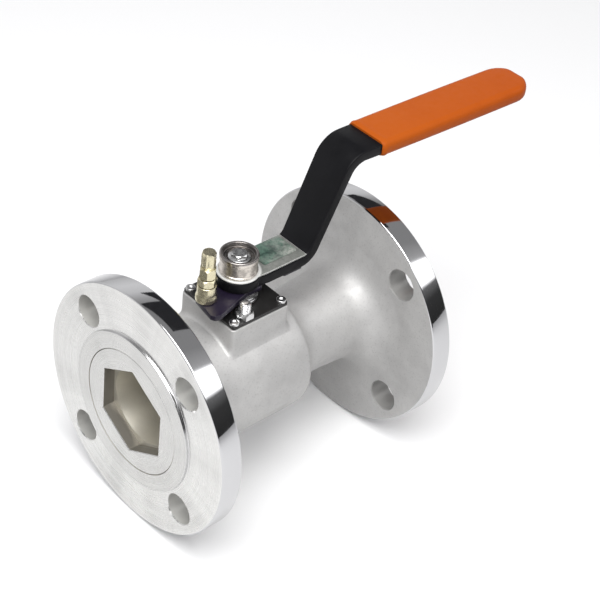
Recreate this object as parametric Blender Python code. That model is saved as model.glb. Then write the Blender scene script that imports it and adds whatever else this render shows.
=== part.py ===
"""Flanged one-piece ball valve, DN 50 / NPS 2 Class 150, with a cranked hand lever.

Frame: +X runs along the pipe from the insert end to the far flange, +Z up the stem.  The
origin is the centre of the footprint, and the valve stands on its two flange rims at Z = 0.
Lengths below are in millimetres, measured from the middle of the pipe axis.
Rest pose: open, lever along +X.
"""
import math

import bmesh
import bpy
from mathutils import Matrix, Vector

MM = 0.001
GAP = 0.3                    # clearance between neighbouring pieces, mm

# pipe flanges
FACE_TO_FACE = 178.0
FLANGE_R = 76.2
FLANGE_T = 15.9
BOLT_CIRCLE_R = 60.3
BOLT_HOLE_R = 9.55
RAISED_FACE_R = 48.5
RAISED_FACE_H = 2.0

# casting between the flanges
BARREL_R = 38.0
NECK_R = 26.6
PORT_R = 19.5
STEM_X = -17.0               # stem axis along the pipe
PAD_X = 21.0                 # half sizes of the square top pad
PAD_Y = 22.5
PAD_TOP = 47.5
STEM_R = 8.0
BOX_R = 12.0                 # stuffing box

# screwed-in end piece
INSERT_HEAD_R = 38.0
INSERT_SHANK_R = 32.0
HEX_AF = 50.0
HEX_DEPTH = 8.0

# ball and seats
BALL_R = 29.0
BALL_BORE_R = 19.0
SEAT_OUT_R = 26.0

# heights above the pipe axis
PLATE_TOP = 49.6
STOP_Z = (56.0, 59.4)
LEVER_Z = (59.7, 66.3)
TRIM_Z = (66.6, 67.5)
HUB_Z = (67.8, 79.4)
HUB_R = 11.2
HUB_RECESS = 76.3

# fasteners in plan, from the stem axis
GLAND_SCREWS = [(su * 17.2, sv * 18.8) for su in (-1, 1) for sv in (-1, 1)]
STOP_STUD = (-8.5, -17.0)
LOCK_BOLT = (-24.6, -2.5)

# hand lever: centre line of its top face, (distance from the stem axis, height, half width)
LEVER_T = LEVER_Z[1] - LEVER_Z[0]
LEVER_PATH = [
    (41.3, 66.3, 12.0), (43.0, 67.4, 12.0), (44.3, 69.6, 12.0), (55.6, 93.0, 12.5),
    (68.0, 114.0, 13.0), (71.2, 118.2, 13.1), (75.0, 121.3, 13.2), (80.0, 123.3, 13.2),
    (86.0, 124.0, 13.3), (212.0, 119.5, 13.3),
]
GRIP_START = 89.8
GRIP_END = 220.5

# the footprint's middle lies beyond the stem, because the lever reaches past the far flange
FOOT_MIDDLE_X = (STEM_X + GRIP_END - FACE_TO_FACE / 2) / 2
PIPE_AXIS = Vector((-FOOT_MIDDLE_X, 0.0, FLANGE_R))
STEM_AXIS = PIPE_AXIS + Vector((STEM_X, 0.0, 0.0))

MATERIALS = {
    # name: (colour, roughness, metallic)
    "cast_steel": ((0.62, 0.61, 0.62), 0.45, 1.0),
    "turned_steel": ((0.80, 0.79, 0.77), 0.22, 1.0),
    "ball_steel": ((0.72, 0.72, 0.73), 0.10, 1.0),
    "ptfe": ((0.88, 0.87, 0.84), 0.50, 0.0),
    "graphite": ((0.10, 0.10, 0.11), 0.60, 0.0),
    "black_plate": ((0.035, 0.035, 0.040), 0.42, 0.0),
    "black_lever": ((0.020, 0.020, 0.023), 0.38, 0.0),
    "bright_zinc": ((0.74, 0.74, 0.74), 0.25, 1.0),
    "yellow_zinc": ((0.78, 0.68, 0.42), 0.30, 1.0),
    "hub_steel": ((0.50, 0.47, 0.46), 0.28, 1.0),
    "green_label": ((0.22, 0.36, 0.29), 0.45, 0.0),
    "orange_vinyl": ((0.62, 0.115, 0.02), 0.45, 0.0),
}


# ---------------------------------------------------------------- helpers

def reset_scene():
    for obj in list(bpy.data.objects):
        bpy.data.objects.remove(obj, do_unlink=True)


def get_material(name):
    mat = bpy.data.materials.get(name)
    if mat is None:
        colour, roughness, metallic = MATERIALS[name]
        mat = bpy.data.materials.new(name)
        mat.use_nodes = True
        shader = mat.node_tree.nodes["Principled BSDF"]
        shader.inputs["Base Color"].default_value = (*colour, 1.0)
        shader.inputs["Roughness"].default_value = roughness
        shader.inputs["Metallic"].default_value = metallic
        mat.diffuse_color = (*colour, 1.0)
    return mat


def add_object(name, bm, material, origin=PIPE_AXIS):
    """Turn a bmesh in millimetres about `origin` into an object in metres."""
    bmesh.ops.recalc_face_normals(bm, faces=bm.faces)
    bmesh.ops.scale(bm, vec=(MM, MM, MM), verts=bm.verts)
    mesh = bpy.data.meshes.new(name)
    bm.to_mesh(mesh)
    bm.free()
    obj = bpy.data.objects.new(name, mesh)
    obj.location = origin * MM
    bpy.context.scene.collection.objects.link(obj)
    mesh.materials.append(get_material(material))
    for poly in mesh.polygons:
        poly.use_smooth = True
    mesh.set_sharp_from_angle(angle=math.radians(35))
    return obj


def add_cutter(name, bm, origin=PIPE_AXIS):
    obj = add_object(name, bm, "cast_steel", origin)
    obj.hide_render = True
    obj.display_type = 'WIRE'
    return obj


def boolean(obj, other, operation='DIFFERENCE'):
    mod = obj.modifiers.new(other.name, 'BOOLEAN')
    mod.operation = operation
    mod.solver = 'EXACT'
    mod.object = other
    other.hide_render = True
    other.display_type = 'WIRE'


def lathe(profile, axis='Z', segments=48, centre=(0.0, 0.0)):
    """Revolve (along, radius) points about an axis; a radius of 0 closes the end."""
    bm = bmesh.new()
    rings = []
    for along, radius in profile:
        if radius <= 0.0:
            rings.append([bm.verts.new(place(axis, along, 0.0, 0.0, centre))])
            continue
        ring = []
        for i in range(segments):
            a = 2.0 * math.pi * i / segments
            point = place(axis, along, radius * math.cos(a), radius * math.sin(a), centre)
            ring.append(bm.verts.new(point))
        rings.append(ring)
    closed = profile[0][1] > 0.0
    pairs = list(zip(rings, rings[1:]))
    if closed:
        pairs.append((rings[-1], rings[0]))
    for low, high in pairs:
        for i in range(segments):
            j = (i + 1) % segments
            if len(low) == 1:
                bm.faces.new((low[0], high[i], high[j]))
            elif len(high) == 1:
                bm.faces.new((low[i], low[j], high[0]))
            else:
                bm.faces.new((low[i], low[j], high[j], high[i]))
    return bm


def place(axis, along, p, q, centre=(0.0, 0.0)):
    if axis == 'X':
        return Vector((along, p + centre[0], q + centre[1]))
    return Vector((p + centre[0], q + centre[1], along))


def prism(outline, low, high, axis='Z'):
    """Extrude a closed outline of (p, q) points between two levels."""
    bm = bmesh.new()
    bottom = [bm.verts.new(place(axis, low, p, q)) for p, q in outline]
    top = [bm.verts.new(place(axis, high, p, q)) for p, q in outline]
    bm.faces.new(bottom)
    bm.faces.new(top)
    count = len(outline)
    for i in range(count):
        j = (i + 1) % count
        bm.faces.new((bottom[i], bottom[j], top[j], top[i]))
    return bm


def arc(centre, radius, start, stop, steps):
    """Points on an arc, angles in degrees."""
    points = []
    for i in range(steps + 1):
        a = math.radians(start + (stop - start) * i / steps)
        points.append((centre[0] + radius * math.cos(a), centre[1] + radius * math.sin(a)))
    return points


def rounded_box(half_p, half_q, corner, steps=4):
    points = []
    for sp, sq, start in ((1, 1, 0), (-1, 1, 90), (-1, -1, 180), (1, -1, 270)):
        centre = (sp * (half_p - corner), sq * (half_q - corner))
        points += arc(centre, corner, start, start + 90, steps)
    return points


def hexagon(across_flats, turn=0.0, centre=(0.0, 0.0)):
    radius = across_flats / math.sqrt(3.0)
    return arc(centre, radius, turn, turn + 300.0, 5)


def double_d(radius, half_flat, steps=6):
    """Round outline cut by two flats facing +X and -X."""
    edge = math.degrees(math.acos(half_flat / radius))
    return arc((0, 0), radius, edge, 180 - edge, steps) + arc((0, 0), radius, 180 + edge, 360 - edge, steps)


def box(low, high):
    outline = [(low[0], low[1]), (high[0], low[1]), (high[0], high[1]), (low[0], high[1])]
    return prism(outline, low[2], high[2])


def join(parts):
    """Merge several bmeshes into one."""
    result = bmesh.new()
    for part in parts:
        mesh = bpy.data.meshes.new("part")
        part.to_mesh(mesh)
        part.free()
        result.from_mesh(mesh)
        bpy.data.meshes.remove(mesh)
    return result


def hex_head(across_flats, low, high, chamfer=0.5, centre=(0.0, 0.0), turn=0.0):
    """Hexagonal prism with its top edge chamfered."""
    outline = hexagon(across_flats, turn)
    small = [(p * (1 - chamfer / (across_flats / 2)), q * (1 - chamfer / (across_flats / 2)))
             for p, q in outline]
    bm = bmesh.new()
    rings = []
    for z, points in ((low, outline), (high - chamfer * 0.6, outline), (high, small)):
        rings.append([bm.verts.new((p + centre[0], q + centre[1], z)) for p, q in points])
    bm.faces.new(rings[0])
    bm.faces.new(rings[-1])
    for lower, upper in zip(rings, rings[1:]):
        for i in range(6):
            j = (i + 1) % 6
            bm.faces.new((lower[i], lower[j], upper[j], upper[i]))
    return bm


# ---------------------------------------------------------------- pressure body

def build_body():
    half = FACE_TO_FACE / 2
    face = half - RAISED_FACE_H
    back = half - FLANGE_T
    outer = [
        (-half, 0.0), (-half, RAISED_FACE_R), (-face, RAISED_FACE_R),
        (-face, FLANGE_R - 1.0), (-face + 1.0, FLANGE_R),
        (-back - 1.2, FLANGE_R), (-back, FLANGE_R - 1.2),
        (-back, 43.5), (-back + 0.7, 40.6), (-back + 2.6, 38.7), (-back + 5.5, BARREL_R),
        (10.0, BARREL_R), (12.2, 37.5), (13.6, 36.2), (14.6, 34.0),
        (16.6, 30.6), (19.6, 28.0), (24.0, NECK_R),
        (54.0, 28.0), (61.0, 29.2), (66.0, 31.6), (69.6, 35.4), (71.8, 40.6), (back, 48.0),
        (back, FLANGE_R - 1.2), (back + 1.2, FLANGE_R),
        (face - 1.0, FLANGE_R), (face, FLANGE_R - 1.0),
        (face, RAISED_FACE_R), (half, RAISED_FACE_R), (half, 0.0),
    ]
    body = add_object("body", lathe(outer, 'X', 64), "cast_steel")

    pad = rounded_box(PAD_X, PAD_Y, 1.8)
    pad = [(p + STEM_X, q) for p, q in pad]
    boolean(body, add_cutter("pad_block", prism(pad, 20.0, PAD_TOP)), 'UNION')

    bore = [
        (-half - 3, 0.0), (-half - 3, INSERT_HEAD_R + GAP), (-80.3, INSERT_HEAD_R + GAP),
        (-80.3, INSERT_SHANK_R + GAP), (-33.0, INSERT_SHANK_R + GAP), (-33.0, 31.0),
        (-3.0, 31.0), (-3.0, SEAT_OUT_R + GAP), (8.3, SEAT_OUT_R + GAP), (8.3, PORT_R),
        (60.0, PORT_R), (half - 1.0, 24.5), (half + 3.0, 24.5), (half + 3.0, 0.0),
    ]
    boolean(body, add_cutter("bore_cut", lathe(bore, 'X', 40)))

    stem_way = [
        (22.0, 0.0), (22.0, 11.0), (33.8, 11.0), (33.8, STEM_R + GAP), (38.0, STEM_R + GAP),
        (38.0, BOX_R), (55.0, BOX_R), (55.0, 0.0),
    ]
    boolean(body, add_cutter("stem_cut", lathe(stem_way, 'Z', 32), STEM_AXIS))

    holes = []
    for low, high in ((-half - 2, -back + 2), (back - 2, half + 2)):
        for k in range(4):
            a = math.radians(45 + 90 * k)
            centre = (BOLT_CIRCLE_R * math.cos(a), BOLT_CIRCLE_R * math.sin(a))
            profile = [(low, 0.0), (low, BOLT_HOLE_R), (high, BOLT_HOLE_R), (high, 0.0)]
            holes.append(lathe(profile, 'X', 20, centre))
    boolean(body, add_cutter("flange_holes", join(holes)))

    taps = []
    for u, v in GLAND_SCREWS:
        taps.append(lathe([(37.0, 0), (37.0, 2.3), (50, 2.3), (50, 0)], 'Z', 12, (u, v)))
    taps.append(lathe([(39.0, 0), (39.0, 3.3), (50, 3.3), (50, 0)], 'Z', 16, STOP_STUD))
    boolean(body, add_cutter("pad_holes", join(taps), STEM_AXIS))


def build_insert():
    half = FACE_TO_FACE / 2
    profile = [
        (-half, INSERT_HEAD_R - 0.3), (-half + 0.3, INSERT_HEAD_R),
        (-80.6, INSERT_HEAD_R), (-80.6, INSERT_SHANK_R),
        (-76.5, INSERT_SHANK_R), (-76.5, 29.6), (-73.5, 29.6), (-73.5, INSERT_SHANK_R),
        (-37.0, INSERT_SHANK_R), (-36.0, 31.0), (-36.0, 29.0), (-33.3, 29.0),
        (-33.3, SEAT_OUT_R + GAP), (-42.3, SEAT_OUT_R + GAP), (-42.3, PORT_R),
        (-62.0, PORT_R), (-half + HEX_DEPTH, 23.6), (-half, 23.6),
    ]
    insert = add_object("body_insert", lathe(profile, 'X', 48), "turned_steel")
    socket = prism(hexagon(HEX_AF, 90.0), -half - 2.0, -half + HEX_DEPTH, 'X')
    boolean(insert, add_cutter("hex_cut", socket))

    ring = arc((-75.0, 30.85), 0.95, 0, 300, 5)
    add_object("insert_o_ring", lathe(ring, 'X', 36), "graphite")
    gasket = [(-35.7, 29.3), (-35.7, 32.0), (-33.3, 32.0), (-33.3, 29.3)]
    add_object("body_seal", lathe(gasket, 'X', 40), "ptfe")


def build_seats():
    sphere = BALL_R + 0.25
    for name, side in (("seat_front", -1), ("seat_rear", 1)):
        profile = [(25.0, PORT_R + 0.5)]
        for radius in (20.0, 22.2, 24.5):
            profile.append((math.sqrt(sphere ** 2 - radius ** 2), radius))
        profile += [(profile[-1][0], SEAT_OUT_R), (25.0, SEAT_OUT_R)]
        profile = [(STEM_X + side * along, radius) for along, radius in profile]
        add_object(name, lathe(profile, 'X', 40), "ptfe")


# ---------------------------------------------------------------- stem seals and top works

def ring_piece(name, inner, outer, low, high, material, segments=28):
    profile = [(low, inner), (low, outer), (high, outer), (high, inner)]
    return add_object(name, lathe(profile, 'Z', segments), material, STEM_AXIS)


def build_stem_seals():
    ring_piece("thrust_washer", STEM_R + GAP, 10.7, 32.3, 33.5, "ptfe")
    level = 38.3
    for name in ("packing_ring_lower", "packing_ring_middle", "packing_ring_upper"):
        ring_piece(name, STEM_R + GAP, BOX_R - GAP, level, level + 2.4, "ptfe")
        level += 2.7
    profile = [(level, STEM_R + GAP), (level, BOX_R - GAP), (PAD_TOP, BOX_R - GAP), (PAD_TOP, 10.0),
               (50.6, 10.0), (50.6, STEM_R + GAP)]
    add_object("packing_follower", lathe(profile, 'Z', 28), "bright_zinc", STEM_AXIS)


def build_gland_plate():
    outline = rounded_box(PAD_X - 0.8, PAD_Y - 0.6, 1.5)
    plate = add_object("gland_plate", prism(outline, PAD_TOP + GAP, PLATE_TOP), "black_plate", STEM_AXIS)
    cuts = [lathe([(46, 0), (46, 10.0 + GAP), (53, 10.0 + GAP), (53, 0)], 'Z', 28)]
    for u, v in GLAND_SCREWS:
        cuts.append(lathe([(46, 0), (46, 2.3), (53, 2.3), (53, 0)], 'Z', 12, (u, v)))
    cuts.append(lathe([(46, 0), (46, 3.3), (53, 3.3), (53, 0)], 'Z', 16, STOP_STUD))
    boolean(plate, add_cutter("plate_cut", join(cuts), STEM_AXIS))

    names = ("gland_screw_front_right", "gland_screw_front_left",
             "gland_screw_rear_right", "gland_screw_rear_left")
    for name, (u, v) in zip(names, GLAND_SCREWS):
        head = PLATE_TOP + GAP
        profile = [(38.0, 0), (38.0, 2.0), (head, 2.0), (head, 2.9), (head + 0.9, 2.9),
                   (head + 1.3, 2.4), (head + 1.3, 1.4), (head + 0.5, 1.4), (head + 0.5, 0)]
        axis = STEM_AXIS + Vector((u, v, 0))
        add_object(name, lathe(profile, 'Z', 16), "bright_zinc", axis)


def build_stop_stud():
    axis = STEM_AXIS + Vector((*STOP_STUD, 0))
    profile = [(40.0, 0), (40.0, 3.0), (54.3, 3.0)]
    level = 54.3
    while level < 58.6:
        profile += [(level, 2.9), (level + 0.35, 3.5), (level + 0.75, 3.5)]
        level += 1.1
    profile += [(59.1, 2.9), (59.3, 2.5), (59.3, 0)]
    add_object("stop_stud", lathe(profile, 'Z', 20), "bright_zinc", axis)
    nut = add_object("stop_stud_nut", hex_head(9.6, 49.9, 54.0, turn=30.0), "bright_zinc", axis)
    drill = lathe([(48, 0), (48, 3.3), (57, 3.3), (57, 0)], 'Z', 20)
    boolean(nut, add_cutter("stud_drill", drill, axis))


def build_stem_nut():
    ring_piece("spring_washer", STEM_R + 0.4, 12.4, 50.9, 52.1, "bright_zinc")
    nut = add_object("stem_nut", hex_head(22.0, 52.4, 55.7, turn=30.0), "bright_zinc", STEM_AXIS)
    drill = lathe([(50, 0), (50, STEM_R + GAP), (57, STEM_R + GAP), (57, 0)], 'Z', 32)
    boolean(nut, add_cutter("stem_nut_drill", drill, STEM_AXIS))


# ---------------------------------------------------------------- parts that turn with the stem

def build_ball():
    edge = math.degrees(math.asin(BALL_BORE_R / BALL_R))
    profile = [(-p, q) for p, q in arc((0, 0), BALL_R, edge, 180 - edge, 14)]
    ball = add_object("ball", lathe(profile, 'X', 40), "ball_steel", STEM_AXIS)
    slot = box((-4.5, -40, 23.0), (4.5, 40, 32.0))
    boolean(ball, add_cutter("ball_slot", slot, STEM_AXIS))


def build_stem():
    profile = [
        (23.3, 0), (23.3, 9.6), (29.4, 9.6), (29.4, 10.5), (32.0, 10.5), (32.0, STEM_R),
        (73.9, STEM_R), (74.5, STEM_R - 0.6), (74.5, 4.3), (62.0, 4.3), (62.0, 0),
    ]
    stem = add_object("stem", lathe(profile, 'Z', 28), "turned_steel", STEM_AXIS)
    cuts = []
    for side in (-1, 1):
        near, far = sorted((side * 4.2, side * 15))
        cuts.append(box((near, -15, 20), (far, 15, 29.2)))
        near, far = sorted((side * 5.3, side * 15))
        cuts.append(box((near, -15, 55.9), (far, 15, 80)))
    boolean(stem, add_cutter("stem_flats", join(cuts), STEM_AXIS))


def drive_hole(name, low, high):
    hole = prism(double_d(STEM_R + GAP, 5.3 + GAP), low, high)
    return add_cutter(name, hole, STEM_AXIS)


def build_stop_plate():
    outline = [(-31.2, -14.6), (-30.0, -16.8), (-27.6, -17.9), (-24.5, -17.3), (-1.0, -10.8),
               (9.3, -10.8), (12.6, -4.6), (25.5, -4.6), (27.5, -9.2), (40.0, -9.2),
               (41.0, -8.2), (41.0, 10.4), (40.0, 11.4), (-3.0, 11.4), (-12.0, 8.0),
               (-26.4, 3.4), (-28.2, 1.8)]
    plate = add_object("stop_plate", prism(outline, *STOP_Z), "black_plate", STEM_AXIS)
    boolean(plate, drive_hole("stop_plate_hole", 54, 62))
    drill = lathe([(54, 0), (54, 2.8), (62, 2.8), (62, 0)], 'Z', 16, LOCK_BOLT)
    boolean(plate, add_cutter("lock_bolt_drill", drill, STEM_AXIS))


def build_lock_bolt():
    axis = STEM_AXIS + Vector((*LOCK_BOLT, 0))
    head = hex_head(7.2, 82.1, 92.0, 0.9)
    shank = lathe([(56.3, 0), (56.3, 2.5), (83.0, 2.5), (83.0, 0)], 'Z', 16)
    bolt = add_object("lock_bolt", head, "yellow_zinc", axis)
    boolean(bolt, add_cutter("lock_bolt_shank", shank, axis), 'UNION')
    drill = lathe([(55, 0), (55, 2.8), (82, 2.8), (82, 0)], 'Z', 16)
    tool = add_cutter("nut_drill", drill, axis)
    nuts = (("lock_nut_upper", 8.6, 75.1, 81.8, 15), ("lock_nut_lower", 9.6, 70.1, 74.8, 0))
    for name, flats, low, high, turn in nuts:
        nut = add_object(name, hex_head(flats, low, high, 0.6, turn=turn), "yellow_zinc", axis)
        boolean(nut, tool)
    sleeve = [(59.7, 2.8), (59.7, 6.0), (62.5, 6.0), (64.0, 5.4), (69.3, 5.4), (69.8, 4.9), (69.8, 2.8)]
    add_object("lock_bolt_spacer", lathe(sleeve, 'Z', 24), "yellow_zinc", axis)


def build_hub():
    trim = arc((0, 0), 12.3, 64, 296, 24) + [(11.0, -11.6), (41.0, -11.6), (41.0, 11.6), (11.0, 11.6)]
    plate = add_object("trim_plate", prism(trim, *TRIM_Z), "bright_zinc", STEM_AXIS)
    boolean(plate, drive_hole("trim_hole", 65, 69))
    label = [(p + 26.6, q + 2.6) for p, q in rounded_box(12.2, 8.4, 1.0, 3)]
    add_object("lever_label", prism(label, TRIM_Z[1] + 0.08, TRIM_Z[1] + 0.38), "green_label", STEM_AXIS)

    low, high = HUB_Z
    profile = [(low, 0), (low, HUB_R), (high - 0.8, HUB_R), (high, HUB_R - 0.8), (high, 9.2),
               (HUB_RECESS, 9.0), (HUB_RECESS, 0)]
    hub = add_object("lever_hub", lathe(profile, 'Z', 40), "hub_steel", STEM_AXIS)
    boolean(hub, drive_hole("hub_hole", 60, 74.8))
    drill = lathe([(60, 0), (60, 4.3), (80, 4.3), (80, 0)], 'Z', 24)
    boolean(hub, add_cutter("hub_drill", drill, STEM_AXIS))

    base = HUB_RECESS + GAP
    head = hex_head(8.4, base + 1.0, base + 2.8, 0.5, turn=10)
    bolt = add_object("lever_bolt", head, "bright_zinc", STEM_AXIS)
    shank = [(63.0, 0), (63.0, 4.0), (base, 4.0), (base, 6.5), (base + 0.7, 6.5), (base + 1.0, 4.7),
             (base + 1.6, 3.9), (base + 1.6, 0)]
    boolean(bolt, add_cutter("lever_bolt_shank", lathe(shank, 'Z', 32), STEM_AXIS), 'UNION')


def sweep_strip(path, thickness, lead):
    """Flat bar along a path in the XZ plane, started by a plan outline `lead`."""
    bm = bmesh.new()
    tops, bottoms = [], []
    for i, (u, z, half_w) in enumerate(path):
        before = path[max(i - 1, 0)]
        after = path[min(i + 1, len(path) - 1)]
        along = Vector((after[0] - before[0], 0, after[1] - before[1])).normalized()
        if i == 0:
            along = Vector((1, 0, 0))
        normal = Vector((-along.z, 0, along.x))
        point = Vector((u, 0, z))
        tops.append([bm.verts.new(point + Vector((0, s * half_w, 0))) for s in (1, -1)])
        under = point - normal * thickness
        bottoms.append([bm.verts.new(under + Vector((0, s * half_w, 0))) for s in (1, -1)])
    for i in range(len(path) - 1):
        bm.faces.new((tops[i][0], tops[i][1], tops[i + 1][1], tops[i + 1][0]))
        bm.faces.new((bottoms[i][1], bottoms[i][0], bottoms[i + 1][0], bottoms[i + 1][1]))
        bm.faces.new((tops[i][1], bottoms[i][1], bottoms[i + 1][1], tops[i + 1][1]))
        bm.faces.new((bottoms[i][0], tops[i][0], tops[i + 1][0], bottoms[i + 1][0]))
    bm.faces.new((tops[-1][0], tops[-1][1], bottoms[-1][1], bottoms[-1][0]))
    if not lead:
        bm.faces.new((tops[0][1], tops[0][0], bottoms[0][0], bottoms[0][1]))
        return bm
    # head: the plan outline closes the near end of the bar
    z_top, z_low = path[0][1], path[0][1] - thickness
    head_top = [bm.verts.new((p, q, z_top)) for p, q in lead]
    head_low = [bm.verts.new((p, q, z_low)) for p, q in lead]
    bm.faces.new([tops[0][1], tops[0][0]] + head_top)
    bm.faces.new([bottoms[0][1], bottoms[0][0]] + head_low)
    ring_top = [tops[0][0]] + head_top + [tops[0][1]]
    ring_low = [bottoms[0][0]] + head_low + [bottoms[0][1]]
    for i in range(len(ring_top) - 1):
        bm.faces.new((ring_top[i], ring_top[i + 1], ring_low[i + 1], ring_low[i]))
    return bm


def build_lever():
    head = arc((0, 0), 12.5, 74, 286, 22)
    lever = add_object("lever", sweep_strip(LEVER_PATH, LEVER_T, head), "black_lever", STEM_AXIS)
    boolean(lever, drive_hole("lever_hole", 50, 68))


def lever_height(u):
    """Height of the lever's top face at a distance from the stem axis."""
    for (u0, z0, _), (u1, z1, _) in zip(LEVER_PATH, LEVER_PATH[1:]):
        if u <= u1:
            break
    return z0 + (z1 - z0) * (u - u0) / (u1 - u0)


def build_grip():
    """Dipped vinyl sleeve over the end of the lever, closed and rounded at the tip."""
    # (share of the length, half width, half thickness, corner radius)
    stations = [(0.0, 14.5, 4.7, 2.9), (0.01, 14.9, 5.1, 3.2), (0.30, 15.0, 5.3, 3.4),
                (0.60, 15.2, 5.5, 3.6), (0.84, 15.2, 5.6, 3.8), (0.91, 14.7, 5.6, 4.0),
                (0.952, 13.0, 5.5, 4.2), (0.978, 10.9, 5.2, 4.4), (0.993, 8.0, 4.4, 4.0),
                (1.0, 5.0, 2.8, 2.6)]
    bm = bmesh.new()
    rings = []
    for t, half_w, half_t, corner in stations:
        u = GRIP_START + (GRIP_END - GRIP_START) * t
        mid = lever_height(u) - LEVER_T / 2
        ring = [bm.verts.new((u, p, mid + q)) for p, q in rounded_box(half_w, half_t, corner)]
        rings.append(ring)
    count = len(rings[0])
    for low, high in zip(rings, rings[1:]):
        for i in range(count):
            j = (i + 1) % count
            bm.faces.new((low[i], low[j], high[j], high[i]))
    bm.faces.new(rings[0])
    bm.faces.new(rings[-1])
    grip = add_object("grip_sleeve", bm, "orange_vinyl", STEM_AXIS)

    # pocket for the bar
    path = [(u, z + GAP, half_w + GAP) for u, z, half_w in LEVER_PATH[-2:]]
    path[-1] = (path[-1][0] + 0.6, path[-1][1], path[-1][2])
    pocket = sweep_strip(path, LEVER_T + 2 * GAP, [])
    boolean(grip, add_cutter("grip_pocket", pocket, STEM_AXIS))


def apply_cuts():
    """Replace every cut piece by its finished mesh and drop the cutters."""
    depsgraph = bpy.context.evaluated_depsgraph_get()
    pieces = [obj for obj in bpy.data.objects if obj.modifiers]
    finished = [bpy.data.meshes.new_from_object(obj.evaluated_get(depsgraph)) for obj in pieces]
    for obj, mesh in zip(pieces, finished):
        obj.modifiers.clear()
        obj.data = mesh
        for poly in mesh.polygons:
            poly.use_smooth = True
        mesh.set_sharp_from_angle(angle=math.radians(35))
    for obj in list(bpy.data.objects):
        if obj.hide_render:
            bpy.data.objects.remove(obj, do_unlink=True)


def main():
    reset_scene()
    build_body()
    build_insert()
    build_seats()
    build_stem_seals()
    build_gland_plate()
    build_stop_stud()
    build_stem_nut()
    build_ball()
    build_stem()
    build_stop_plate()
    build_lock_bolt()
    build_hub()
    build_lever()
    build_grip()
    apply_cuts()


main()
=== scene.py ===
import math

import bmesh
import bpy
from mathutils import Matrix, Vector


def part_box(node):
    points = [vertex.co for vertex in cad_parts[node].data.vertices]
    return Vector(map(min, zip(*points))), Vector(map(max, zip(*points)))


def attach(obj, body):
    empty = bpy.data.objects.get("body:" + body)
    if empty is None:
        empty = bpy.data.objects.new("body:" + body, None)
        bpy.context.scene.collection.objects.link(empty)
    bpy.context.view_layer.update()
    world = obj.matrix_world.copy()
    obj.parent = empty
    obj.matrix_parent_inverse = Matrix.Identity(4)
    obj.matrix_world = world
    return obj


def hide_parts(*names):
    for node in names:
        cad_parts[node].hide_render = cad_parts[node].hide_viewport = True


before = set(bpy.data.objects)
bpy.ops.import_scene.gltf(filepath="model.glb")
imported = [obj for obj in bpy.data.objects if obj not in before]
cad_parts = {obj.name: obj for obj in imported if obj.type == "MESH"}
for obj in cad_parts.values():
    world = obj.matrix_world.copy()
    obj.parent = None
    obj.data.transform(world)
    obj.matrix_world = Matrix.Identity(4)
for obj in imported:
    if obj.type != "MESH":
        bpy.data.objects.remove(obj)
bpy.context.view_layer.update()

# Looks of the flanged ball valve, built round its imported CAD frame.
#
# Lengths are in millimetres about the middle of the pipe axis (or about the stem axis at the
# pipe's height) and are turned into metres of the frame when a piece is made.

MM = 0.001

# ---------------------------------------------------------------- sizes read from the frame

BODY_LOW, BODY_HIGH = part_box("body")
PIPE_AXIS = (BODY_LOW + BODY_HIGH) / 2
HALF = (BODY_HIGH.x - BODY_LOW.x) / 2 / MM
FLANGE_R = (BODY_HIGH.z - BODY_LOW.z) / 2 / MM


def span(node, axis):
    """Lowest and highest place of a CAD node along an axis, in mm about the pipe axis."""
    low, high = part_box(node)
    return (low[axis] - PIPE_AXIS[axis]) / MM, (high[axis] - PIPE_AXIS[axis]) / MM


def upright_through(node):
    """Point at the pipe's height on the vertical line through a CAD node's middle."""
    low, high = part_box(node)
    return Vector(((low.x + high.x) / 2, (low.y + high.y) / 2, PIPE_AXIS.z))


STEM_X = sum(span("stem", 0)) / 2
STEM_AXIS = PIPE_AXIS + Vector((STEM_X * MM, 0, 0))
PAD_TOP = span("gland_plate", 2)[0] - 0.3
PLATE_TOP = span("gland_plate", 2)[1]
STOP_Z = span("stop_plate", 2)
TRIM_Z = span("trim_plate", 2)
HUB_Z = span("lever_hub", 2)
GRIP_END = span("grip_sleeve", 0)[1] - STEM_X

# ---------------------------------------------------------------- sizes of the visible shapes

FLANGE_T = 15.9
RAISED_FACE_R = 48.5
RAISED_FACE_H = 2.0
FLANGE_FACE_X = HALF - RAISED_FACE_H
FLANGE_BACK_X = HALF - FLANGE_T
BOLT_CIRCLE_R = 60.3
BOLT_HOLE_R = 9.55
BOLT_ANGLES = [math.radians(45 + 90 * k) for k in range(4)]
BOLT_CENTRES = [(BOLT_CIRCLE_R * math.cos(a), BOLT_CIRCLE_R * math.sin(a)) for a in BOLT_ANGLES]
BARREL_R = 38.0
NECK_R = 26.6
PORT_R = 19.5
INSERT_R = 38.0
HEX_AF = 50.0
HEX_DEPTH = 8.0
BALL_R = 29.0
BALL_BORE_R = 19.0
PAD_X = 21.0
PAD_Y = 22.5
LEVER_T = 6.6
LEVER_HEAD_R = 12.5
# the lever's top line in its own plane: distance from the stem axis, height, bend radius
LEVER_BENDS = [(13.0, 66.3, 0), (41.8, 66.3, 7.0), (67.6, 124.3, 17.0), (212.0, 119.5, 0)]
GRIP_START = 89.8
GRIP_NOSE = 15.2
HUB_R = 11.2
HUB_RECESS = 3.1
STEM_R = 8.0
GAP = 0.3

HOUSING, LEVER_BODY, BALL_BODY = "housing", "lever_assembly", "ball_body"


# ---------------------------------------------------------------- material nodes

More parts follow.
